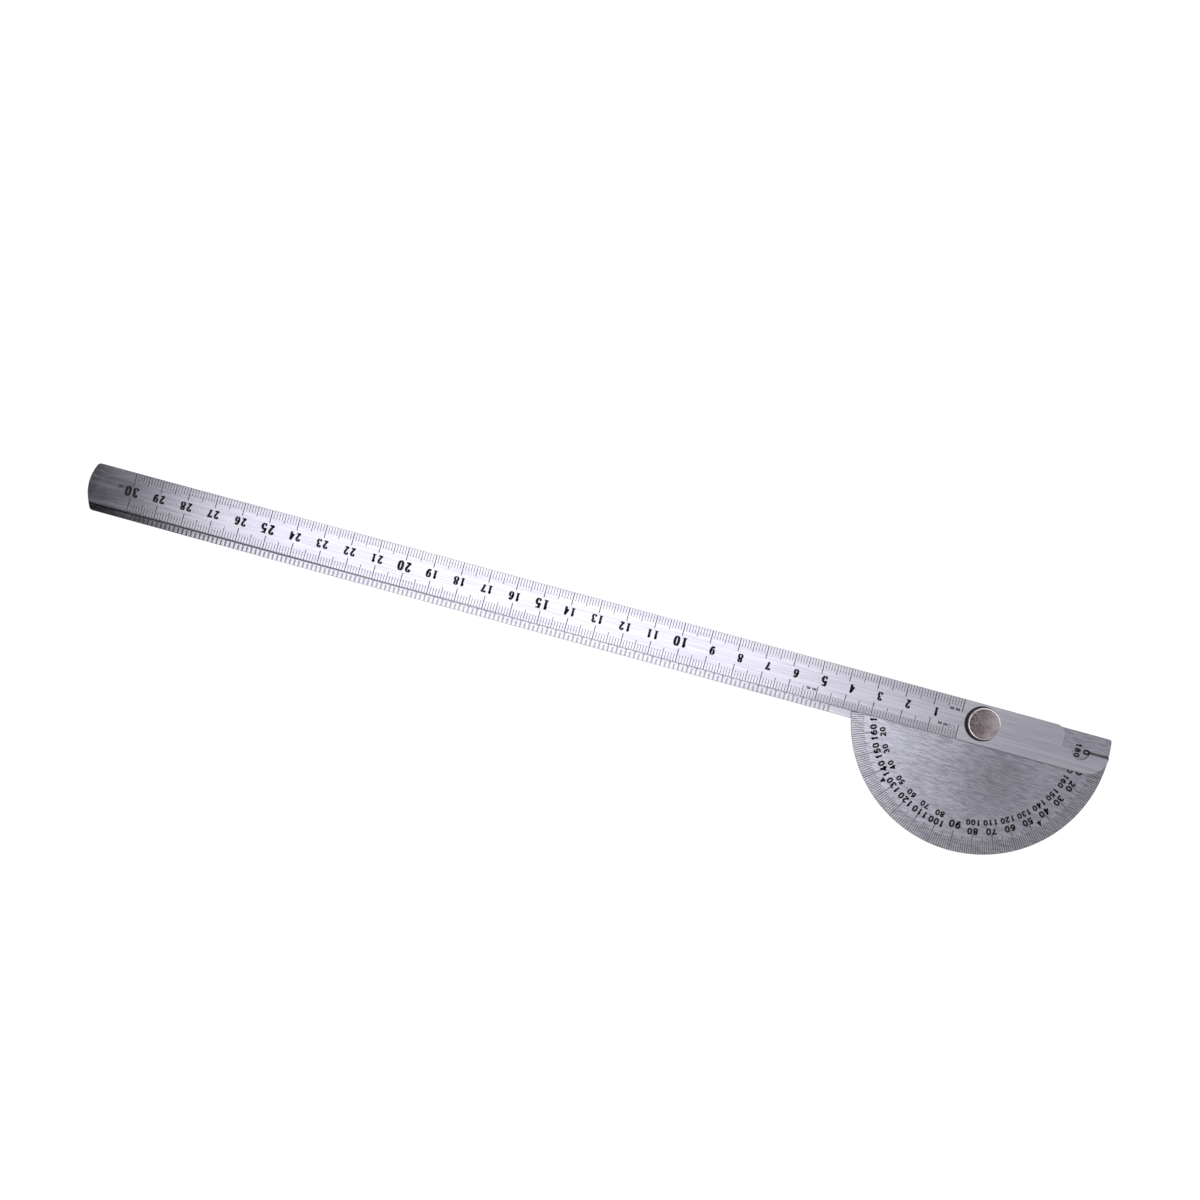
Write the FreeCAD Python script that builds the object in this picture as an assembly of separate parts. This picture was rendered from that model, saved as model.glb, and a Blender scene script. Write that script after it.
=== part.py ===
import FreeCAD, Part
import math
import os

os.makedirs("parts", exist_ok=True)

# An angle ruler: two long blades and a half disc on one clamping pivot.
# X runs along the closed blades to their far end, Y towards the half disc, Z up to the thumb nut.
# The pivot axis is Z, and the lowest face, the stud's head, lies at zero. Sizes are in millimetres.

# Front arm, the graduated blade with its pointer tail
scale_length = 300.0
zero_from_pivot = 7.7
margin_past_scale = 15.8
front_thickness = 1.0
front_notched_side = 6.8
front_pointer_side = 7.4
notch_from_pivot = 28.5
notch_corner = 3.5
relief_from_pivot = 35.0
relief_radius = 3.1

# Far ends of both blades
end_radius = 15.0
end_corner = 1.5

# Protractor plate
plate_radius = 45.0
plate_past_diameter = 6.4
plate_thickness = 1.0
plate_corner = 1.0

# Rear arm
rear_thickness = 1.0
rear_far_side = 10.0
rear_stub = 22.0
rear_stub_corner = 3.0

# Pivot stud
head_radius = 5.0
head_height = 1.2
head_rounding = 0.4
neck_side = 5.0
thread_radius = 2.5
thread_in_nut = 3.0
thread_chamfer = 0.5

# Clamp washer
washer_radius = 6.1
washer_thickness = 0.5

# Thumb nut
nut_radius = 5.5
nut_height = 4.3
nut_top_chamfer = 0.4
nut_foot_chamfer = 0.3
nut_blind_room = 0.4
knurl_teeth = 60
knurl_depth = 0.2
knurl_land_share = 0.35

# Clearances
running_clearance = 0.05
neck_clearance = 0.02
washer_clearance = 0.2
edge_break = 0.1

# Heights of the stack
rear_bottom = head_height
plate_bottom = rear_bottom + rear_thickness
front_bottom = plate_bottom + plate_thickness
washer_bottom = front_bottom + front_thickness
nut_bottom = washer_bottom + washer_thickness
nut_top = nut_bottom + nut_height
stud_top = nut_bottom + thread_in_nut

# Both blades end level with each other
blade_tip = zero_from_pivot + scale_length + margin_past_scale


def at(x, y, z=0.0):
    return FreeCAD.Vector(x, y, z)


def line(start, end):
    return Part.LineSegment(start, end).toShape()


def arc(start, middle, end):
    return Part.Arc(start, middle, end).toShape()


def sheet(edges, bottom, thickness):
    face = Part.Face(Part.Wire(edges))
    solid = face.extrude(at(0, 0, thickness))
    solid.translate(at(0, 0, bottom))
    return solid


def edges_where(solid, wanted):
    return [edge for edge in solid.Edges if wanted(edge)]


def upright_at(x, y):
    def wanted(edge):
        box = edge.BoundBox
        place = edge.CenterOfMass
        stands = box.XLength < 1e-6 and box.YLength < 1e-6
        return stands and math.hypot(place.x - x, place.y - y) < 1e-4
    return wanted


def break_rims(solid, bottom, thickness):
    def on_rim(edge):
        box = edge.BoundBox
        level = box.ZLength < 1e-6
        return level and min(abs(box.ZMin - bottom), abs(box.ZMin - bottom - thickness)) < 1e-6
    return solid.makeChamfer(edge_break, edges_where(solid, on_rim))


def upright_cylinder(radius, bottom, height, x=0.0):
    return Part.makeCylinder(radius, height, at(x, 0, bottom))


def square_prism(side, bottom, height):
    return Part.makeBox(side, side, height, at(-side / 2, -side / 2, bottom))


def far_end(low_side, high_side):
    # The end arc's centre lies on the blade's own middle line
    middle = (low_side + high_side) / 2
    half_width = (high_side - low_side) / 2
    shoulder = blade_tip - end_radius + math.sqrt(end_radius ** 2 - half_width ** 2)
    return at(shoulder, low_side), at(blade_tip, middle), at(shoulder, high_side)


def make_front_arm():
    low_shoulder, tip, high_shoulder = far_end(-front_notched_side, front_pointer_side)
    pointer_tip = plate_radius
    pointer_centre = pointer_tip - front_pointer_side
    slant = front_pointer_side * math.sqrt(0.5)
    notch_outer = at(-notch_from_pivot, -front_notched_side)
    notch_inner = at(-notch_from_pivot, 0)
    index_end = at(-pointer_tip, 0)
    pointer_shoulder = at(-pointer_centre, front_pointer_side)
    edges = [
        line(notch_outer, low_shoulder),
        arc(low_shoulder, tip, high_shoulder),
        line(high_shoulder, pointer_shoulder),
        arc(pointer_shoulder, at(-pointer_centre - slant, slant), index_end),
        line(index_end, notch_inner),
        line(notch_inner, notch_outer),
    ]
    blank = sheet(edges, front_bottom, front_thickness)
    for corner in (low_shoulder, high_shoulder):
        blank = blank.makeFillet(end_corner, edges_where(blank, upright_at(corner.x, corner.y)))
    blank = blank.makeFillet(notch_corner, edges_where(blank, upright_at(notch_outer.x, notch_outer.y)))
    relief = upright_cylinder(relief_radius, front_bottom, front_thickness, -relief_from_pivot)
    blank = break_rims(blank.cut(relief), front_bottom, front_thickness)
    bore = upright_cylinder(thread_radius + running_clearance, front_bottom, front_thickness)
    return blank.cut(bore)


def make_plate():
    corner_x = math.sqrt(plate_radius ** 2 - plate_past_diameter ** 2)
    left = at(-corner_x, -plate_past_diameter)
    right = at(corner_x, -plate_past_diameter)
    edges = [line(left, right), arc(right, at(0, plate_radius), left)]
    blank = sheet(edges, plate_bottom, plate_thickness)
    for corner in (left, right):
        blank = blank.makeFillet(plate_corner, edges_where(blank, upright_at(corner.x, corner.y)))
    blank = break_rims(blank, plate_bottom, plate_thickness)
    return blank.cut(square_prism(neck_side + 2 * neck_clearance, plate_bottom, plate_thickness))


def make_rear_arm():
    low_shoulder, tip, high_shoulder = far_end(-plate_past_diameter, rear_far_side)
    stub_low = at(-rear_stub, -plate_past_diameter)
    stub_high = at(-rear_stub, rear_far_side)
    edges = [
        line(stub_low, low_shoulder),
        arc(low_shoulder, tip, high_shoulder),
        line(high_shoulder, stub_high),
        line(stub_high, stub_low),
    ]
    blank = sheet(edges, rear_bottom, rear_thickness)
    for corner in (low_shoulder, high_shoulder):
        blank = blank.makeFillet(end_corner, edges_where(blank, upright_at(corner.x, corner.y)))
    for corner in (stub_low, stub_high):
        blank = blank.makeFillet(rear_stub_corner, edges_where(blank, upright_at(corner.x, corner.y)))
    blank = break_rims(blank, rear_bottom, rear_thickness)
    return blank.cut(square_prism(neck_side + 2 * neck_clearance, rear_bottom, rear_thickness))


def make_stud():
    head = upright_cylinder(head_radius, 0, head_height)

    def lower_rim(edge):
        box = edge.BoundBox
        return box.ZMax < 1e-6

    head = head.makeFillet(head_rounding, edges_where(head, lower_rim))
    neck = square_prism(neck_side, head_height, front_bottom - head_height)
    thread = upright_cylinder(thread_radius, front_bottom, stud_top - front_bottom)

    def upper_rim(edge):
        box = edge.BoundBox
        return box.ZMin > stud_top - 1e-6

    thread = thread.makeChamfer(thread_chamfer, edges_where(thread, upper_rim))
    return head.fuse([neck, thread]).removeSplitter()


def make_washer():
    disc = upright_cylinder(washer_radius, washer_bottom, washer_thickness)
    disc = break_rims(disc, washer_bottom, washer_thickness)
    return disc.cut(upright_cylinder(thread_radius + washer_clearance, washer_bottom, washer_thickness))


def turned(profile, axis_start, axis_end):
    corners = [at(radius, 0, height) for radius, height in profile]
    wire = Part.makePolygon(corners + corners[:1])
    return Part.Face(wire).revolve(axis_start, axis_end - axis_start, 360)


def knurled_bar(bottom, height):
    # One tooth is an arc of land and a straight sided groove, repeated round the nut
    pitch = 2 * math.pi / knurl_teeth
    land = pitch * knurl_land_share
    root_radius = nut_radius - knurl_depth

    def on_circle(radius, angle):
        return at(radius * math.cos(angle), radius * math.sin(angle), bottom)

    edges = []
    for tooth in range(knurl_teeth):
        start = tooth * pitch
        land_end = on_circle(nut_radius, start + land)
        root = on_circle(root_radius, start + (land + pitch) / 2)
        next_start = on_circle(nut_radius, start + pitch)
        edges.append(arc(on_circle(nut_radius, start), on_circle(nut_radius, start + land / 2), land_end))
        edges.append(line(land_end, root))
        edges.append(line(root, next_start))
    return Part.Face(Part.Wire(edges)).extrude(at(0, 0, height))


def make_nut():
    outline = [
        (0, nut_bottom),
        (nut_radius - nut_foot_chamfer, nut_bottom),
        (nut_radius, nut_bottom + nut_foot_chamfer),
        (nut_radius, nut_top - nut_top_chamfer),
        (nut_radius - nut_top_chamfer, nut_top),
        (0, nut_top),
    ]
    body = turned(outline, at(0, 0, 0), at(0, 0, 1))
    body = body.common(knurled_bar(nut_bottom, nut_height))
    blind_hole = upright_cylinder(thread_radius + running_clearance, nut_bottom, thread_in_nut + nut_blind_room)
    return body.cut(blind_hole)


pieces = {
    "front_arm": make_front_arm(),
    "protractor_plate": make_plate(),
    "rear_arm": make_rear_arm(),
    "pivot_stud": make_stud(),
    "clamp_washer": make_washer(),
    "thumb_nut": make_nut(),
}

for name, shape in pieces.items():
    shape.exportStep(f"parts/{name}.step")
    print(name, len(shape.Solids), round(shape.Volume, 2), shape.isValid())
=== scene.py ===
import math

import bpy
import numpy as np
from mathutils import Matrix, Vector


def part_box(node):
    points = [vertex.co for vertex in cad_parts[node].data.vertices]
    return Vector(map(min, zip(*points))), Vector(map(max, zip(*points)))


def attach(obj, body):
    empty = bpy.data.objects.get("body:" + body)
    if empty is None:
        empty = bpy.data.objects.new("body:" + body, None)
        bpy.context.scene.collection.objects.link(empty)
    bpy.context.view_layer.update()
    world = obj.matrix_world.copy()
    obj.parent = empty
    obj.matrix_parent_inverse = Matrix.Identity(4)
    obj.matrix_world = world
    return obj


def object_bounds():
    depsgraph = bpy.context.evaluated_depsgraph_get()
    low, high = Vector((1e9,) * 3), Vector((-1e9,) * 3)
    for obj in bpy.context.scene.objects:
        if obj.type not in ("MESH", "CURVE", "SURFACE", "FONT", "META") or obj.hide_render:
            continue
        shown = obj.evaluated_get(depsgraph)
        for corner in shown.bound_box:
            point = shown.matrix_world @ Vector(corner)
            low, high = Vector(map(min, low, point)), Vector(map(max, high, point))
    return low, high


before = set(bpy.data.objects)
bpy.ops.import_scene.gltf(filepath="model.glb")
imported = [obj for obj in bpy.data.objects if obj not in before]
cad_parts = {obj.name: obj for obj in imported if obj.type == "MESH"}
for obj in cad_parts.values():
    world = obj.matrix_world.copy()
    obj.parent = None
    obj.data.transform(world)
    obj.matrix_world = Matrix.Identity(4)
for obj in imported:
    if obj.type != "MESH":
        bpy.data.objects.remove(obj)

cadBounds = [list(corner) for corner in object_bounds()]
mm = 0.001
inch = 25.4 * mm

# Corners of the boxes round the nodes whose faces and edges the marks and finishes follow
armLow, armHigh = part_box("front_arm")
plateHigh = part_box("protractor_plate")[1]
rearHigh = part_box("rear_arm")[1]
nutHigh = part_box("thumb_nut")[1]
print("frame loaded:", ", ".join(sorted(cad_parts)))


# Shader sockets that can be reckoned with

class Wire:
    # A socket on a board. Each operator on it adds one Math node.
    def __init__(self, board, socket):
        self.board = board
        self.socket = socket

    def math(self, operation, *others):
        inputs = dict(enumerate((self,) + others))
        return self.board.add("ShaderNodeMath", {"operation": operation}, inputs)

    def __add__(self, other):
        return self.math("ADD", other)

    def __sub__(self, other):
        return self.math("SUBTRACT", other)

    def __mul__(self, other):
        return self.math("MULTIPLY", other)

    def __rsub__(self, other):
        return self.board.add("ShaderNodeMath", {"operation": "SUBTRACT"}, {0: other, 1: self})

    __radd__ = __add__
    __rmul__ = __mul__


class Board:
    # One node tree. Every node comes from add: its type, its settings and its sockets' values or links.
    def __init__(self, tree):
        tree.nodes.clear()
        self.tree = tree

    def add(self, kind, settings=None, inputs=None, out=0):
        node = self.tree.nodes.new(kind)
        for name, value in (settings or {}).items():
            setattr(node, name, value)
        for name, value in (inputs or {}).items():
            if isinstance(value, Wire):
                self.tree.links.new(value.socket, node.inputs[name])
            else:
                node.inputs[name].default_value = value
        return Wire(self, node.outputs[out] if len(node.outputs) else None)

    def place(self, turn=0.0):
        # The point in the part's own frame, turned by so many degrees about the pivot
        spot = self.add("ShaderNodeTexCoord", out="Object")
        return self.add("ShaderNodeMapping", {}, {"Vector": spot, "Rotation": (0, 0, math.radians(turn))})

    def axis(self, vector, name):
        return self.add("ShaderNodeSeparateXYZ", {}, {"Vector": vector}, name)

    def flat(self, spot):
        # The point brought down to the level of the origin
        return self.add("ShaderNodeVectorMath", {"operation": "MULTIPLY"}, {0: spot, 1: (1, 1, 0)})

    def fromPivot(self, spot):
        return self.add("ShaderNodeVectorMath", {"operation": "LENGTH"}, {0: self.flat(spot)}, "Value")

    def bump(self, height, distance=1.0):
        return self.add("ShaderNodeBump", {}, {"Strength": 1.0, "Distance": distance, "Height": height})

    def noise(self, spot, sizes, detail=2.0, rough=0.6):
        # Noise whose blobs have these sizes along X, Y and Z
        scaled = self.add("ShaderNodeVectorMath", {"operation": "MULTIPLY"},
                          {0: spot, 1: tuple(1 / size for size in sizes)})
        return self.add("ShaderNodeTexNoise", {},
                        {"Vector": scaled, "Scale": 1.0, "Detail": detail, "Roughness": rough})

    def mix(self, share, first, second):
        return self.add("ShaderNodeMix", {"data_type": "RGBA"}, {0: share, 6: first, 7: second}, 2)

    def rise(self, value, start, end):
        # 0 before start, 1 past end, and a smooth climb between
        return self.add("ShaderNodeMapRange", {"interpolation_type": "SMOOTHSTEP"},
                        {0: value, 1: start, 2: end, 3: 0.0, 4: 1.0})


def newMaterial(name):
    material = bpy.data.materials.new(name)
    material.use_nodes = True
    return material, Board(material.node_tree)


def surface(board, inputs):
    shader = board.add("ShaderNodeBsdfPrincipled", {}, inputs)
    board.add("ShaderNodeOutputMaterial", {}, {"Surface": shader})


def shade(value):
    return (value[0], value[1], value[2], 1.0)


# Brushed sheets. Noise squeezed into long streaks tilts the surface across the grain and tints it. Hairs
# finer than the picture's pixels spread the reflections. A bow makes the height fall with the square of
# the way along X from its middle. On the upper face, a painted shadow darkens the seam where the front
# arm's edge rests on the sheet behind it, another darkens the pointer's index edge, and painted shade
# darkens a round patch of the plate. Their shares are how much of the colour they take away.

# armSeam and its copies on the rear arm, its etched lines and the plate set a painted shadow along the seam
# at the front arm's edge
armSeam = dict(start=(armHigh.y - 0.4 * mm, armHigh.y - 0.1 * mm), near=0.15,
               stop=(armHigh.y + 0.2 * mm, armHigh.y + 0.6 * mm), far=0.9, along=(120 * mm, 290 * mm))
indexLine = dict(past=(0.20 * mm, 0.72 * mm), end=(-37 * mm, -35.5 * mm), share=0.75)
# edge is the dark colour of painted shade on the sheets' edges
armSteel = dict(light=(0.90, 0.89, 1.0), dark=(0.68, 0.67, 0.81), edge=(0.16, 0.155, 0.17),
                roughness=0.10, uneven=0.05, edgeRoughness=0.42, grain=0.0,
                streak=30 * mm, width=0.55 * mm, depth=0.008 * mm,
                hair=9 * mm, hairWidth=0.10 * mm, hairDepth=0.004 * mm,
                seam=armSeam, index=indexLine)
rearSteel = dict(armSteel, bow=dict(middle=268 * mm, back=0.0, radius=3.0))
rearEtch = dict(rearSteel, light=(0.54, 0.53, 0.57), dark=(0.40, 0.39, 0.42), roughness=0.22,
                seam=dict(armSeam, stop=(rearHigh.y, rearHigh.y + 1.0 * mm), near=0.0, far=0.65,
                          along=(232 * mm, 296 * mm)))
plateSteel = dict(light=(0.81, 0.80, 0.93), dark=(0.47, 0.46, 0.55), edge=(0.20, 0.195, 0.22),
                  roughness=0.12, uneven=0.08, edgeRoughness=0.42, grain=2.0,
                  streak=3.2 * mm, width=0.42 * mm, depth=0.012 * mm,
                  hair=3 * mm, hairWidth=0.12 * mm, hairDepth=0.008 * mm,
                  bow=dict(middle=4 * mm, back=60 * mm, radius=1.8),
                  seam=dict(armSeam, near=0.22, far=0.22),
                  patch=dict(middle=(-9 * mm, 17 * mm, 0.0), reach=(2 * mm, 19 * mm), share=0.24))
brushing = dict(hairShare=0.4, tint=(0.36, 0.64), smudge=(14 * mm, 9 * mm, 9 * mm), smudging=0.06,
                level=(0.80, 0.97), facingUp=(0.5, 0.9))


def bowHeight(x, bow):
    # The way from the bow's middle, no further back than it says, squared over twice the radius
    way = (x - bow["middle"]).math("MAXIMUM", -bow["back"])
    return way * way * (0.5 / bow["radius"])


def seamDirt(board, x, y, seam):
    # Painted shadow: a band along the seam that darkens from its near share to its far share along X
    share = seam["near"] + board.rise(x, *seam["along"]) * (seam["far"] - seam["near"])
    return board.rise(y, *seam["start"]) * (1 - board.rise(y, *seam["stop"])) * share


def indexDirt(board, x, y, index):
    # Painted shadow along the index edge, where the arm's edge stands over the plate
    return (1 - board.rise(y, *index["past"])) * (1 - board.rise(x, *index["end"])) * index["share"]


def patchWear(board, spot, patch):
    # Painted shade: a round patch of the plate, darkest at its middle
    away = board.add("ShaderNodeVectorMath", {"operation": "DISTANCE"},
                     {0: board.flat(spot), 1: patch["middle"]}, "Value")
    return (1 - board.rise(away, *patch["reach"])) * patch["share"]


def brushedSteel(name, look):
    material, board = newMaterial(name)
    spot = board.place(look["grain"])
    x, y = board.axis(board.place(), "X"), board.axis(board.place(), "Y")
    streaks = board.noise(spot, (look["streak"], look["width"], look["width"]), 3.0)
    hairs = board.noise(spot, (look["hair"], look["hairWidth"], look["hairWidth"]), 1.0)
    smudges = board.noise(spot, brushing["smudge"])
    height = streaks * look["depth"] + hairs * look["hairDepth"]
    if "bow" in look:
        height = height - bowHeight(x, look["bow"])
    # The painted shadows at the seam and the index edge, and the plate's painted shade, darken the upper
    # face
    paintedShade = seamDirt(board, x, y, look["seam"])
    if "index" in look:
        paintedShade = paintedShade + indexDirt(board, x, y, look["index"])
    if "patch" in look:
        paintedShade = paintedShade + patchWear(board, spot, look["patch"])
    upright = board.axis(board.add("ShaderNodeNewGeometry", out="Normal"), "Z")
    paintedShade = paintedShade * board.rise(upright, *brushing["facingUp"])
    # Sheared edges are rough and carry a dark colour of painted shade, and a face counts as one as it turns
    # away from level
    roughShadedEdge = 1 - board.rise(upright.math("ABSOLUTE"), *brushing["level"])
    grain = streaks * (1 - brushing["hairShare"]) + hairs * brushing["hairShare"]
    colour = board.mix(board.rise(grain, *brushing["tint"]), shade(look["dark"]), shade(look["light"]))
    colour = board.mix(paintedShade, colour, shade((0.0, 0.0, 0.0)))
    polished = look["roughness"] + (streaks - 0.5) * look["uneven"] + (smudges - 0.5) * brushing["smudging"]
    surface(board, {
        "Base Color": board.mix(roughShadedEdge, colour, shade(look["edge"])),
        "Metallic": 1.0,
        "Roughness": polished + roughShadedEdge * (look["edgeRoughness"] - look["roughness"]),
        "Normal": board.bump(height),
    })
    return material


# Turned pieces: fine rings round the pivot, which wander a little

turnedSteel = dict(light=(0.80, 0.79, 0.80), dark=(0.60, 0.59, 0.61), roughness=0.26, uneven=0.12,
                   ring=0.22 * mm, ringShare=0.4, wander=9.0, wanderSize=3 * mm, grainSize=0.5 * mm,
                   depth=0.004 * mm)
# The washer's near-black colour is painted shade round the nut's foot
shadedWasherSteel = dict(turnedSteel, light=(0.10, 0.09, 0.095), dark=(0.04, 0.036, 0.038))


def ringedSteel(name, look):
    material, board = newMaterial(name)
    spot = board.place()
    wander = board.noise(spot, (look["wanderSize"],) * 3) * look["wander"]
    around = (board.fromPivot(spot) * (2 * math.pi / look["ring"]) + wander).math("SINE")
    speckle = board.noise(spot, (look["grainSize"],) * 3, 3.0)
    grain = speckle * (1 - look["ringShare"]) + (around * 0.5 + 0.5) * look["ringShare"]
    surface(board, {
        "Base Color": board.mix(grain, shade(look["dark"]), shade(look["light"])),
        "Metallic": 1.0,
        "Roughness": look["roughness"] + (grain - 0.5) * look["uneven"],
        "Normal": board.bump(grain, look["depth"]),
    })
    return material


# The nut: a bright ring round its top, a slightly dished and mottled satin face, and a flank painted dark
# as shade, nearly black in its knurl's grooves. Grit lies on one side of the face, and painted shade dims
# the ring on another.

# land and groove are painted shade on the flank; worn is the ring's dimmer colour, at random and as painted
# shade on one side
plating = dict(bright=(0.96, 0.93, 0.97), worn=(0.42, 0.39, 0.42), satin=(0.475, 0.40, 0.42),
               stain=(0.25, 0.205, 0.22), land=(0.26, 0.235, 0.245), groove=(0.04, 0.036, 0.037),
               grit=(0.10, 0.09, 0.095),
               ringRoughness=0.16, flankRoughness=0.34, topRoughness=0.30, uneven=0.10,
               satinPast=0.03 * mm, satinFade=0.04 * mm, chamfer=0.4 * mm, chamferFade=0.02 * mm,
               knurlDepth=0.2 * mm, landFade=0.02 * mm,
               blotch=(5.5 * mm, 4.5 * mm, 4.5 * mm), speck=(0.55 * mm, 0.45 * mm, 0.45 * mm), rough=0.7,
               mottle=(0.40, 0.60), gritSize=(0.50 * mm, 0.40 * mm, 0.40 * mm), gritShows=(0.46, 0.62),
               gritSide=(-3 * mm, 4 * mm), ringShadeToward=(-0.6, 0.8), ringShadeSide=(2 * mm, 4.2 * mm),
               shines=(0.40, 0.56), blotchShine=0.7,
               dishMiddle=2.6 * mm, dishRadius=95 * mm, pitting=0.008 * mm)


def platedNut(name, look):
    material, board = newMaterial(name)
    spot = board.place()
    x, y, height = board.axis(spot, "X"), board.axis(spot, "Y"), board.axis(spot, "Z")
    satinStart = nutHigh.z - look["satinPast"]
    ringStart = nutHigh.z - look["chamfer"]
    top = board.rise(height, satinStart - look["satinFade"], satinStart)
    flank = 1 - board.rise(height, ringStart - look["chamferFade"], ringStart)
    blotch = board.noise(spot, look["blotch"])
    speck = board.noise(spot, look["speck"], 3.0, look["rough"])

    mottle = board.rise(blotch * 0.5 + speck * 0.5, *look["mottle"])
    face = board.mix(mottle, shade(look["stain"]), shade(look["satin"]))
    gritNoise = board.noise(spot, look["gritSize"], 2.0, look["rough"])
    grit = board.rise(gritNoise, *look["gritShows"]) * board.rise(x, *look["gritSide"])
    face = board.mix(grit, face, shade(look["grit"]))

    # Painted shade: the ring turns to its worn colour on the side towards -X and +Y
    ringShade = board.rise(x * look["ringShadeToward"][0] + y * look["ringShadeToward"][1], *look["ringShadeSide"])
    patchy = blotch * look["blotchShine"] + speck * (1 - look["blotchShine"])
    shine = board.rise(patchy, *look["shines"]) * (1 - ringShade)
    ring = board.mix(shine, shade(look["worn"]), shade(look["bright"]))

    # Painted shade on the flank: dark on the knurl's lands and nearly black in its grooves
    land = board.rise(board.fromPivot(spot), nutHigh.x - look["knurlDepth"], nutHigh.x - look["landFade"])
    flankShade = board.mix(land, shade(look["groove"]), shade(look["land"]))

    rough = look["ringRoughness"] + top * (look["topRoughness"] - look["ringRoughness"])
    rough = rough + flank * (look["flankRoughness"] - look["ringRoughness"])
    fromMiddle = x - look["dishMiddle"]
    relief = top * (fromMiddle * fromMiddle * (0.5 / look["dishRadius"]) + speck * look["pitting"])
    surface(board, {
        "Base Color": board.mix(top, board.mix(flank, ring, flankShade), face),
        "Metallic": 1.0,
        "Roughness": rough + (speck - 0.5) * look["uneven"],
        "Normal": board.bump(relief),
    })
    return material


# Ink: nearly black in the numerals, thinner and browner in the etched lines

ink = dict(dark=(0.005, 0.005, 0.007), worn=(0.035, 0.034, 0.036), roughness=0.5, uneven=0.2,
           specular=0.3, wear=(0.7 * mm, 0.7 * mm, 0.7 * mm), wearShows=(0.45, 0.75))
lineInk = dict(ink, dark=(0.05, 0.045, 0.025), worn=(0.15, 0.14, 0.10))


def inkFill(name, look):
    material, board = newMaterial(name)
    wear = board.noise(board.place(), look["wear"], 3.0)
    shows = board.rise(wear, *look["wearShows"])
    surface(board, {
        "Base Color": board.mix(shows, shade(look["dark"]), shade(look["worn"])),
        "Roughness": look["roughness"] + (wear - 0.5) * look["uneven"],
        "Specular IOR Level": look["specular"],
    })
    return material


materials = {
    "arm": brushedSteel("armBrushedSteel", armSteel),
    "rear": brushedSteel("rearBrushedSteel", rearSteel),
    "rearEtch": brushedSteel("rearEtchedLines", rearEtch),
    "plate": brushedSteel("plateBrushedSteel", plateSteel),
    "turned": ringedSteel("turnedSteel", turnedSteel),
    "washer": ringedSteel("shadedWasherSteel", shadedWasherSteel),
    "nut": platedNut("nutPlating", plating),
    "ink": inkFill("numeralInk", ink),
    "lineInk": inkFill("lineInk", lineInk),
}
finishes = {"front_arm": "arm", "rear_arm": "rear", "protractor_plate": "plate",
            "pivot_stud": "turned", "clamp_washer": "washer", "thumb_nut": "nut"}
for node, finish in finishes.items():
    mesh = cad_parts[node].data
    mesh.materials.clear()
    mesh.materials.append(materials[finish])
print("finishes on the sheets, the stud, the washer and the nut")


# Marks are thin slabs that stand on a face: each is a closed shape of points and faces

def join(parts):
    # Many slabs as one list of points and faces, with each slab's face numbers moved past the ones before
    points, faces, start = [], [], 0
    for partPoints, partFaces in parts:
        points.append(partPoints)
        faces.extend((partFaces + start).tolist())
        start += len(partPoints)
    return np.concatenate(points), faces


def bars(starts, ends, widths, bottom, top):
    # Straight strokes: each runs from its start to its end, and is as wide as it says
    starts, ends = np.asarray(starts, float), np.asarray(ends, float)
    along = ends - starts
    along /= np.linalg.norm(along, axis=1)[:, None]
    across = np.stack([-along[:, 1], along[:, 0]], 1) * np.asarray(widths, float)[:, None] / 2
    corners = np.stack([starts - across, ends - across, ends + across, starts + across], 1)
    count = len(corners)
    points = np.zeros((count, 8, 3))
    points[:, :4, :2] = corners
    points[:, 4:, :2] = corners
    points[:, :4, 2] = bottom
    points[:, 4:, 2] = top
    box = np.array([(3, 2, 1, 0), (4, 5, 6, 7), (0, 1, 5, 4), (1, 2, 6, 5), (2, 3, 7, 6), (3, 0, 4, 7)])
    faces = (box[None] + 8 * np.arange(count)[:, None, None]).reshape(-1, 4)
    return points.reshape(-1, 3), faces


def ribbon(path, halfWidth, bottom, top):
    # A rectangle carried along a path: half its width to each side of the path, with both ends closed
    slope = np.gradient(path, axis=0)
    slope /= np.linalg.norm(slope, axis=1)[:, None]
    across = np.stack([-slope[:, 1], slope[:, 0]], 1) * halfWidth[:, None]
    right, left = path - across, path + across
    count = len(path)
    points = np.zeros((count, 4, 3))
    points[:, 0, :2], points[:, 1, :2] = right, left
    points[:, 2, :2], points[:, 3, :2] = left, right
    points[:, :2, 2] = bottom
    points[:, 2:, 2] = top
    ring = np.arange(4)
    here = 4 * np.arange(count - 1)[:, None] + ring
    there = 4 * np.arange(count - 1)[:, None] + np.roll(ring, -1)
    walls = np.stack([here, there, there + 4, here + 4], 2).reshape(-1, 4)
    caps = np.array([ring[::-1], 4 * (count - 1) + ring])
    return points.reshape(-1, 3), np.concatenate([walls, caps])


# Digits are drawn with a pen. A stroke is a row of points on a square from 0 to 1, joined by straight
# runs where it has two points and by a smooth curve where it has more. A dot is a stroke of one point.

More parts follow.
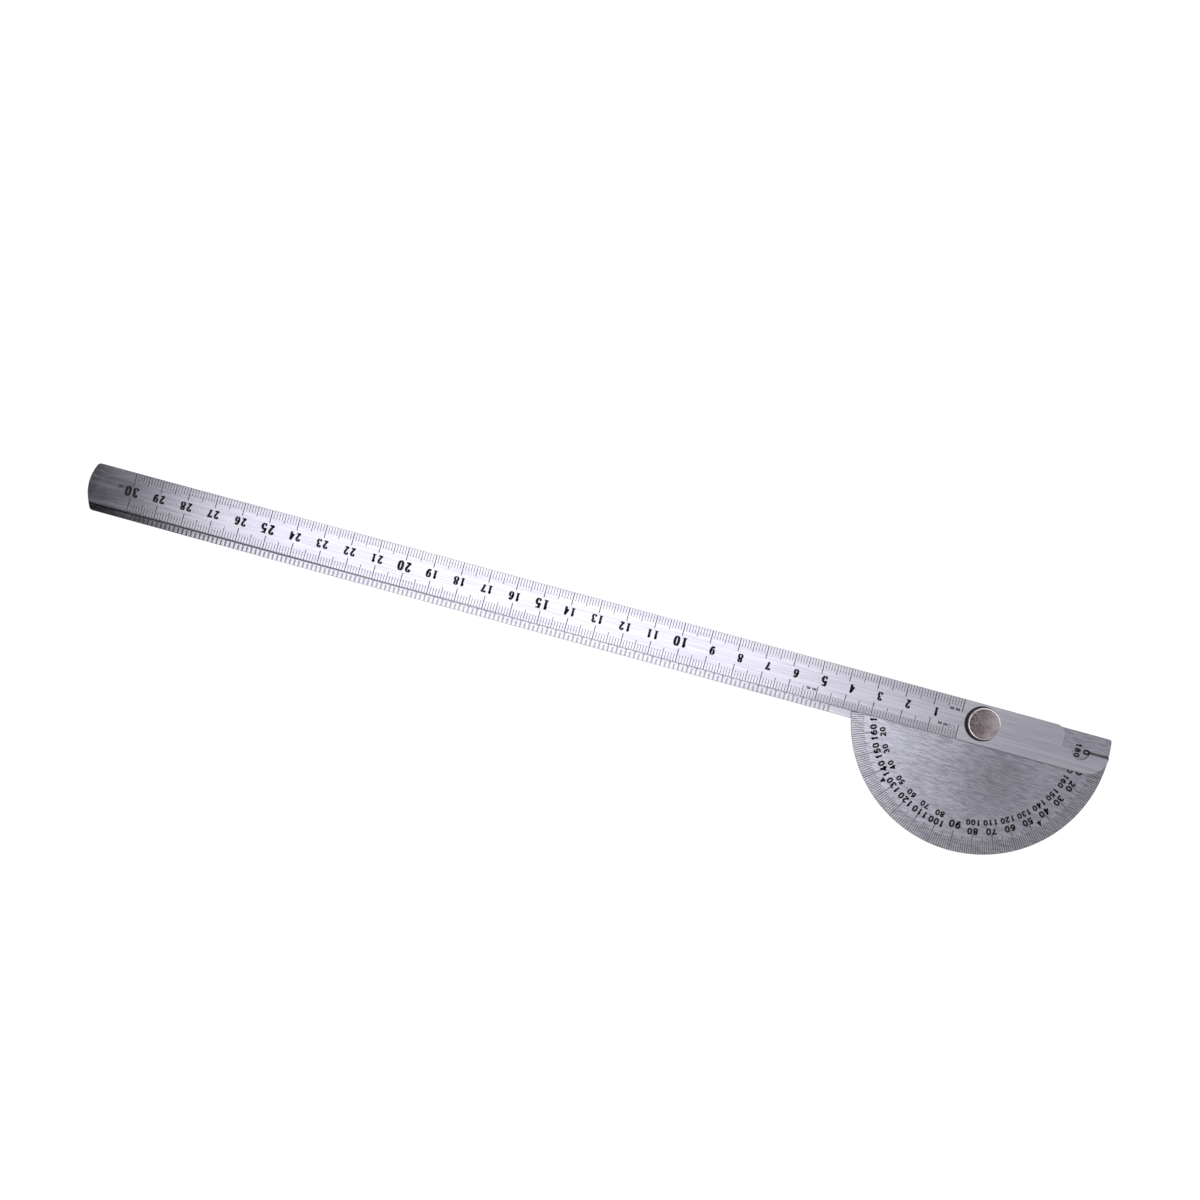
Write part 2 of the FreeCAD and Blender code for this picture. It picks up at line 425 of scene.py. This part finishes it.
digitStrokes = {
    "0": [[(0.5, 0), (0.12, 0.14), (0, 0.5), (0.12, 0.86), (0.5, 1), (0.88, 0.86), (1, 0.5), (0.88, 0.14),
           (0.5, 0)]],
    "1": [[(0.56, 0), (0.56, 1)], [(0.56, 0.97), (0.36, 0.82), (0.08, 0.75)]],
    "2": [[(0.04, 0.74), (0.16, 0.93), (0.48, 1), (0.86, 0.86), (0.86, 0.62), (0.48, 0.28), (0.03, 0)],
          [(0.03, 0), (1, 0)]],
    "3": [[(0.05, 0.80), (0.18, 0.95), (0.48, 1), (0.84, 0.86), (0.80, 0.65), (0.40, 0.54)],
          [(0.40, 0.54), (0.82, 0.47), (0.98, 0.27), (0.82, 0.06), (0.46, 0), (0.16, 0.05), (0.02, 0.20)]],
    "4": [[(0.72, 0), (0.72, 1)], [(0.72, 1), (0, 0.30)], [(0, 0.27), (1, 0.27)]],
    "5": [[(0.22, 1), (0.92, 1)], [(0.22, 1), (0.12, 0.50)],
          [(0.12, 0.52), (0.34, 0.62), (0.66, 0.61), (0.96, 0.42), (0.96, 0.20), (0.70, 0.02), (0.32, 0),
           (0.02, 0.15)]],
    "6": [[(0.88, 0.84), (0.72, 0.98), (0.42, 0.96), (0.10, 0.70), (0.02, 0.36), (0.14, 0.09), (0.48, 0),
           (0.84, 0.09), (0.98, 0.31), (0.84, 0.55), (0.50, 0.62), (0.18, 0.52), (0.04, 0.34)]],
    "7": [[(0.02, 1), (1, 1)], [(1, 1), (0.66, 0.62), (0.46, 0.28), (0.40, 0)]],
    "8": [[(0.5, 0.54), (0.18, 0.64), (0.10, 0.80), (0.22, 0.95), (0.5, 1), (0.78, 0.95), (0.90, 0.80),
           (0.82, 0.64), (0.5, 0.54)],
          [(0.5, 0.54), (0.14, 0.44), (0, 0.25), (0.14, 0.06), (0.5, 0), (0.86, 0.06), (1, 0.25),
           (0.86, 0.44), (0.5, 0.54)]],
    "m": [[(0.06, 0), (0.06, 0.66)],
          [(0.06, 0.50), (0.20, 0.66), (0.40, 0.66), (0.50, 0.48)], [(0.50, 0.50), (0.50, 0)],
          [(0.50, 0.50), (0.64, 0.66), (0.84, 0.66), (0.94, 0.48)], [(0.94, 0.50), (0.94, 0)]],
    "c": [[(0.90, 0.54), (0.72, 0.66), (0.34, 0.64), (0.08, 0.34), (0.30, 0.04), (0.68, 0), (0.92, 0.14)]],
    "/": [[(0.15, -0.05), (0.85, 1.05)]],
}
digitStrokes["9"] = [[(1 - x, 1 - y) for x, y in stroke] for stroke in digitStrokes["6"]]

# What the book hand adds: feet, a flag and round ends
bookExtras = {
    "1": [[(0.12, 0), (1, 0)]],
    "2": [[(0.14, 0.78)], [(0.10, 0.05), (1, 0.05)], [(0.18, 0.10), (0.98, 0.10)]],
    "3": [[(0.15, 0.80)], [(0.12, 0.18)]],
    "4": [[(0.45, 0), (1, 0)]],
    "5": [[(0.22, 0.96), (0.94, 0.96)], [(0.10, 0.16)]],
    "6": [[(0.82, 0.84)]],
    "7": [[(0.04, 0.95), (0.98, 0.95)], [(0.04, 1), (0.04, 0.82)]],
    "9": [[(0.18, 0.16)]],
}

# Each hand's pens, thick on upright strokes and thin on level ones, are half widths. Ball is the radius of
# its round ends. All of a hand's sizes are shares of the height of its digits. Broad letters are stretched.
bookHand = dict(width=0.66, step=0.78, thick=0.14, thin=0.05, ball=0.095, extras=bookExtras, broad={})
plainHand = dict(width=0.74, step=0.83, thick=0.135, thin=0.12, ball=0.0, extras={}, broad={})
smallHand = dict(width=0.66, step=0.86, thick=0.075, thin=0.062, ball=0.0, extras={},
                 broad={"m": 1.9, "/": 0.7})
uprightness = 1.2       # a higher power keeps slanting strokes thinner
dotSteps = 9
dotMargin = 0.02        # radians by which a round end stops short of its two poles


def smoothPath(corners, perRun=7):
    # A curve through every point, whose slope at each is half the step from the point before to the next
    corners = np.asarray(corners, float)
    closed = np.allclose(corners[0], corners[-1])
    before = corners[-2] if closed else 2 * corners[0] - corners[1]
    after = corners[1] if closed else 2 * corners[-1] - corners[-2]
    held = np.vstack([before, corners, after])
    slope = (held[2:] - held[:-2]) / 2
    t = np.linspace(0, 1, perRun, endpoint=False)[None, :, None]
    start, end = corners[:-1, None], corners[1:, None]
    leave, arrive = slope[:-1, None], slope[1:, None]
    curve = ((2 * t ** 3 - 3 * t ** 2 + 1) * start + (t ** 3 - 2 * t ** 2 + t) * leave
             + (3 * t ** 2 - 2 * t ** 3) * end + (t ** 3 - t ** 2) * arrive)
    return np.vstack([curve.reshape(-1, 2), corners[-1:]])


def onDigit(points, hand, height):
    # From the digit's square to its place, with room for half a pen at every side
    inset = np.array([hand["thick"], hand["thin"]])
    size = np.array([hand["width"], 1.0])
    return (inset + np.asarray(points, float) * (size - 2 * inset)) * height


def penStroke(corners, hand, height, bottom, top):
    # Half the pen's width goes from thin on level strokes to thick on upright ones
    straight = len(corners) == 2
    path = onDigit(corners if straight else smoothPath(corners), hand, height)
    if straight:
        # A straight stroke goes on past both its ends by half the thin pen's width
        run = path[1] - path[0]
        path += np.array([[-1], [1]]) * run / np.linalg.norm(run) * hand["thin"] * height
    slope = np.gradient(path, axis=0)
    upright = np.abs(slope[:, 1]) / np.linalg.norm(slope, axis=1)
    half = (hand["thin"] + (hand["thick"] - hand["thin"]) * upright ** uprightness) * height
    return ribbon(path, half, bottom, top)


def penDot(corners, hand, height, bottom, top):
    # A round end, as a short fat stroke whose half width follows a circle
    x, y = onDigit(corners[0], hand, height)
    radius = hand["ball"] * height
    turn = np.linspace(dotMargin, math.pi - dotMargin, dotSteps)
    path = np.stack([x - radius * np.cos(turn), np.full(dotSteps, y)], 1)
    return ribbon(path, radius * np.sin(turn), bottom, top)


def word(text, hand, height, centre, turn, bottom, top):
    # The word's middle lies on the centre, and its baseline is turned by so many degrees
    parts, start = [], 0.0
    for letter in text:
        broad = hand["broad"].get(letter, 1.0)
        for corners in digitStrokes[letter] + hand["extras"].get(letter, []):
            draw = penDot if len(corners) == 1 else penStroke
            points, faces = draw(corners, hand, height, bottom, top)
            points[:, 0] = points[:, 0] * broad + start
            parts.append((points, faces))
        start += hand["step"] * height * broad
    points, faces = join(parts)
    long = start - (hand["step"] - hand["width"]) * height
    c, s = math.cos(math.radians(turn)), math.sin(math.radians(turn))
    flat = points[:, :2] - np.array([long / 2, height / 2])
    points[:, :2] = flat @ np.array([[c, s], [-s, c]]) + np.asarray(centre)
    return points, np.array(faces)


def newObject(name, points, faces, material):
    mesh = bpy.data.meshes.new(name)
    mesh.from_pydata(points, [], faces)
    mesh.update()
    mesh.materials.append(material)
    made = bpy.data.objects.new(name, mesh)
    bpy.context.scene.collection.objects.link(made)
    return made


def addPiece(name, parts, body, material):
    points, faces = join(parts)
    piece = newObject(name, points.tolist(), faces, material)
    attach(piece, body)


proud = 0.012 * mm      # how far a mark stands above its face
sunk = 0.02 * mm        # how far it reaches into the face
fromEdge = 0.12 * mm    # how far from the sheet's edge a scale's lines start


def levels(high):
    # The underside and the top of a mark on the upper face of the node with this high corner
    return high.z - sunk, high.z + proud


def rank(steps):
    # 2 for every tenth step, 1 for every fifth, 0 for the others
    return np.where(steps % 10 == 0, 2, np.where(steps % 5 == 0, 1, 0))


# Front arm: 30 cm along both edges, with half millimetres for the first five centimetres of the upper one.
# Reaches and widths go by rank. Every fifth numeral is larger.

armScale = dict(zero=armHigh.x - 315.8 * mm, length=300, halfUpTo=50,
                upperEdge=armHigh.y - fromEdge, lowerEdge=armLow.y + fromEdge,
                upperReach=(4.55 * mm, 3.5 * mm, 2.5 * mm), lowerReach=(-3.9 * mm, -3.1 * mm, -2.1 * mm),
                widths=(0.19 * mm, 0.24 * mm, 0.30 * mm), halfWidth=0.08 * mm,
                numeral=3.0 * mm, fifth=3.5 * mm, middle=0.1 * mm, gap=0.9 * mm)


def armTicks(scale):
    whole = np.arange(0, scale["length"] + 1, dtype=float)
    halves = np.arange(0.5, scale["halfUpTo"], 1.0)
    parts = []
    for edge, reach, steps in ((scale["upperEdge"], scale["upperReach"], np.concatenate([halves, whole])),
                               (scale["lowerEdge"], scale["lowerReach"], whole)):
        kind = rank(steps)
        x = scale["zero"] + steps * mm
        starts = np.stack([x, np.full_like(x, edge)], 1)
        ends = np.stack([x, np.asarray(reach)[kind]], 1)
        widths = np.where(steps % 1 > 0, scale["halfWidth"], np.asarray(scale["widths"])[kind])
        parts.append(bars(starts, ends, widths, *levels(armHigh)))
    return parts


def armNumerals(scale):
    parts = []
    for centimetre in range(1, scale["length"] // 10 + 1):
        height = scale["fifth"] if centimetre % 5 == 0 else scale["numeral"]
        x = scale["zero"] + centimetre * 10 * mm
        text = str(centimetre)
        if len(text) == 1:
            # Two digits stand to both sides of their line, and a single one stands before it
            x -= bookHand["width"] * height / 2 + scale["gap"] / 2
        parts.append(word(text, bookHand, height, (x, scale["middle"]), 0, *levels(armHigh)))
    return parts


# Each mark's height and the middle of its place
armUnits = (("1/2mm", 1.2 * mm, 11.8 * mm, 3.6 * mm), ("mm", 1.25 * mm, 10.4 * mm, -2.45 * mm),
            ("mm", 1.25 * mm, 59.9 * mm, 3.9 * mm), ("cm", 1.2 * mm, 311.6 * mm, -0.8 * mm))


def armMarks(units):
    return [word(text, smallHand, height, (x, y), 0, *levels(armHigh)) for text, height, x, y in units]


addPiece("arm_scale_lines", armTicks(armScale), "swing_arm", materials["lineInk"])
addPiece("arm_scale_numerals", armNumerals(armScale), "swing_arm", materials["ink"])
addPiece("arm_unit_marks", armMarks(armUnits), "swing_arm", materials["ink"])
print("front arm graduated")


# Rear arm: ten inches in sixteenths along its outer edge

rearScale = dict(zero=52.2 * mm, inches=10, parts=16, edge=rearHigh.y - fromEdge,
                 reach=(8.0 * mm, 6.9 * mm, 6.2 * mm, 5.4 * mm, 4.4 * mm), width=0.6 * mm,
                 numeral=3.0 * mm, middle=1.6 * mm)


def rearTicks(scale):
    # The kind goes from 0 for a sixteenth to 4 for a whole inch
    steps = np.arange(0, scale["inches"] * scale["parts"] + 1)
    kind = sum((steps % every == 0).astype(int) for every in (2, 4, 8, 16))
    x = scale["zero"] + steps * inch / scale["parts"]
    starts = np.stack([x, np.full_like(x, scale["edge"])], 1)
    ends = np.stack([x, np.asarray(scale["reach"])[kind]], 1)
    return [bars(starts, ends, np.full(len(x), scale["width"]), *levels(rearHigh))]


def rearNumerals(scale):
    return [word(str(number), bookHand, scale["numeral"], (scale["zero"] + number * inch, scale["middle"]),
                 0, *levels(rearHigh)) for number in range(1, scale["inches"] + 1)]


addPiece("rear_scale_lines", rearTicks(rearScale), "base", materials["rearEtch"])
addPiece("rear_scale_numerals", rearNumerals(rearScale), "base", materials["ink"])
print("rear arm graduated")


# Plate: degrees both ways round the pivot, 90 in the middle, and a pointer halfway to each side

plateScale = dict(rim=plateHigh.y - fromEdge, reach=(40.4 * mm, 39.2 * mm, 37.85 * mm),
                  widths=(0.18 * mm, 0.20 * mm, 0.26 * mm), zeroWidth=0.9 * mm,
                  outer=37.15 * mm, outerHeight=2.4 * mm, inner=34.1 * mm, innerHeight=2.1 * mm,
                  middle=35.8 * mm, middleHeight=2.7 * mm,
                  pointers=(45, 135), pointerTip=40.6 * mm, pointerBase=38.55 * mm,
                  pointerHalves=(0.9 * mm, 0.02 * mm))


def aroundPivot(radius, degrees):
    turn = np.radians(degrees)
    return np.stack([radius * np.cos(turn), radius * np.sin(turn)], -1)


def plateTicks(scale):
    steps = np.arange(0, 181)
    kind = rank(steps)
    starts = aroundPivot(scale["rim"], steps)
    ends = aroundPivot(np.asarray(scale["reach"])[kind], steps)
    widths = np.where(steps % 180 == 0, scale["zeroWidth"], np.asarray(scale["widths"])[kind])
    return [bars(starts, ends, widths, *levels(plateHigh))]


def plateNumerals(scale):
    parts = []
    for degrees in range(0, 181, 10):
        if degrees == 90:
            rows = [("90", scale["middle"], scale["middleHeight"])]
        else:
            rows = [(str(180 - degrees), scale["outer"], scale["outerHeight"]),
                    (str(degrees), scale["inner"], scale["innerHeight"])]
        for text, radius, height in rows:
            centre = aroundPivot(radius, degrees)
            parts.append(word(text, plainHand, height, centre, degrees - 90, *levels(plateHigh)))
    return parts


def platePointers(scale):
    # A solid triangle is a stroke whose half width shrinks to nearly nothing at its tip
    parts = []
    for degrees in scale["pointers"]:
        path = aroundPivot(np.array([scale["pointerBase"], scale["pointerTip"]]), np.full(2, degrees))
        parts.append(ribbon(path, np.array(scale["pointerHalves"]), *levels(plateHigh)))
    return parts


addPiece("plate_scale_lines", plateTicks(plateScale), "base", materials["lineInk"])
addPiece("plate_numerals", plateNumerals(plateScale), "base", materials["ink"])
addPiece("plate_pointers", platePointers(plateScale), "base", materials["ink"])
print("plate graduated")


# Studio: a wide white floor, white walls, and a softbox overhead that fades to a dimmer ceiling. Each pair
# of numbers is the start and the end of a change. Its degrees are off the zenith: towards +X for box, core
# and slotEnd, across X for boxSide, boxNear, slotSide and narrow, and any way for wallRise.

studio = dict(floorHalf=4.0, floorShare=0.85, floorWhite=1.14, gap=0.02 * mm,
              wall=1.0, wallRise=(32.0, 50.0), ceiling=0.38, softbox=1.21, dim=0.0, side=0.3,
              boxLow=(-12.0, 0.0), boxHigh=(13.0, 18.2), boxSide=(18.0, 36.0), boxNear=(2.0, 12.0),
              slotEnd=(26.0, 36.0), slotSide=(26.0, 38.0), narrow=(4.0, 12.0), narrowDepth=0.7,
              coreLow=(-2.0, 2.5), coreHigh=(5.0, 9.0), core=0.08)


def makeFloor(look):
    material, board = newMaterial("studioFloor")
    direct = board.add("ShaderNodeLightPath", out="Is Camera Ray")
    glossy = board.add("ShaderNodeLightPath", out="Is Glossy Ray")
    through = board.add("ShaderNodeLightPath", out="Is Transmission Ray")
    seen = direct.math("MAXIMUM", glossy).math("MAXIMUM", through)
    paint = board.add("ShaderNodeBsdfDiffuse", {}, {"Color": shade((1.0, 1.0, 1.0))})
    white = board.add("ShaderNodeEmission", {}, {"Strength": look["floorWhite"]})
    both = board.add("ShaderNodeMixShader", {}, {0: seen * look["floorShare"], 1: paint, 2: white})
    # From below, the floor lets the underside of the ruler be seen
    under = board.add("ShaderNodeNewGeometry", out="Backfacing")
    clear = board.add("ShaderNodeBsdfTransparent")
    board.add("ShaderNodeOutputMaterial", {},
              {"Surface": board.add("ShaderNodeMixShader", {}, {0: under, 1: both, 2: clear})})
    half, level = look["floorHalf"], cadBounds[0][2] - look["gap"]
    corners = [(-half, -half, level), (half, -half, level), (half, half, level), (-half, half, level)]
    floor = newObject("studioFloor", corners, [(0, 1, 2, 3)], material)


def makeWorld(look):
    world = bpy.data.worlds.new("studioWorld")
    world.use_nodes = True
    bpy.context.scene.world = world
    board = Board(world.node_tree)
    toward = board.add("ShaderNodeTexCoord", out="Generated")
    x, y, z = [board.axis(toward, name) for name in "XYZ"]
    degrees = 180 / math.pi
    alongArms = x.math("ARCTAN2", z) * degrees
    acrossArms = y.math("ARCTAN2", z) * degrees
    offZenith = z.math("ARCCOSINE") * degrees

    # The softbox with its brighter core, and the ceiling before it, lit over the arms' width alone
    started = board.rise(alongArms, *look["boxLow"])
    core = board.rise(alongArms, *look["coreLow"]) * (1 - board.rise(alongArms, *look["coreHigh"]))
    box = look["ceiling"] + started * (look["softbox"] - look["ceiling"]) + core * look["core"]
    narrow = board.rise(acrossArms.math("ABSOLUTE"), *look["narrow"])
    box = box * (1 - narrow * (1 - started) * look["narrowDepth"])

    beside = board.rise(acrossArms, *look["boxNear"]) + board.rise(0 - acrossArms, *look["boxSide"])
    above = box + beside * (look["side"] - box)
    level = above + board.rise(offZenith, *look["wallRise"]) * (look["wall"] - above)

    # A dark slot past the softbox
    slot = board.rise(alongArms, *look["boxHigh"]) * (1 - board.rise(alongArms, *look["slotEnd"]))
    slot = slot * (1 - board.rise(acrossArms.math("ABSOLUTE"), *look["slotSide"]))
    level = level + slot * (look["dim"] - level)

    seen = board.add("ShaderNodeLightPath", out="Is Camera Ray")
    light = board.add("ShaderNodeBackground", {},
                      {"Color": shade((1.0, 1.0, 1.0)), "Strength": seen + (1 - seen) * level})
    board.add("ShaderNodeOutputWorld", {}, {"Surface": light})


# The photograph's view: from above the middle of the arms, which run down to the right
camera = dict(place=(112.646 * mm, 18.529 * mm, 630.185 * mm), turn=(2.837, 1.680, -164.651), lens=54.0,
              sensor=36.0)


def makeCamera(look):
    data = bpy.data.cameras.new("photoCamera")
    data.lens = look["lens"]
    data.sensor_width = look["sensor"]
    eye = bpy.data.objects.new("photoCamera", data)
    eye.location = look["place"]
    eye.rotation_euler = [math.radians(angle) for angle in look["turn"]]
    bpy.context.scene.collection.objects.link(eye)
    bpy.context.scene.camera = eye


makeFloor(studio)
makeWorld(studio)
makeCamera(camera)
bpy.context.scene.view_settings.view_transform = "Standard"
print("studio and camera ready")
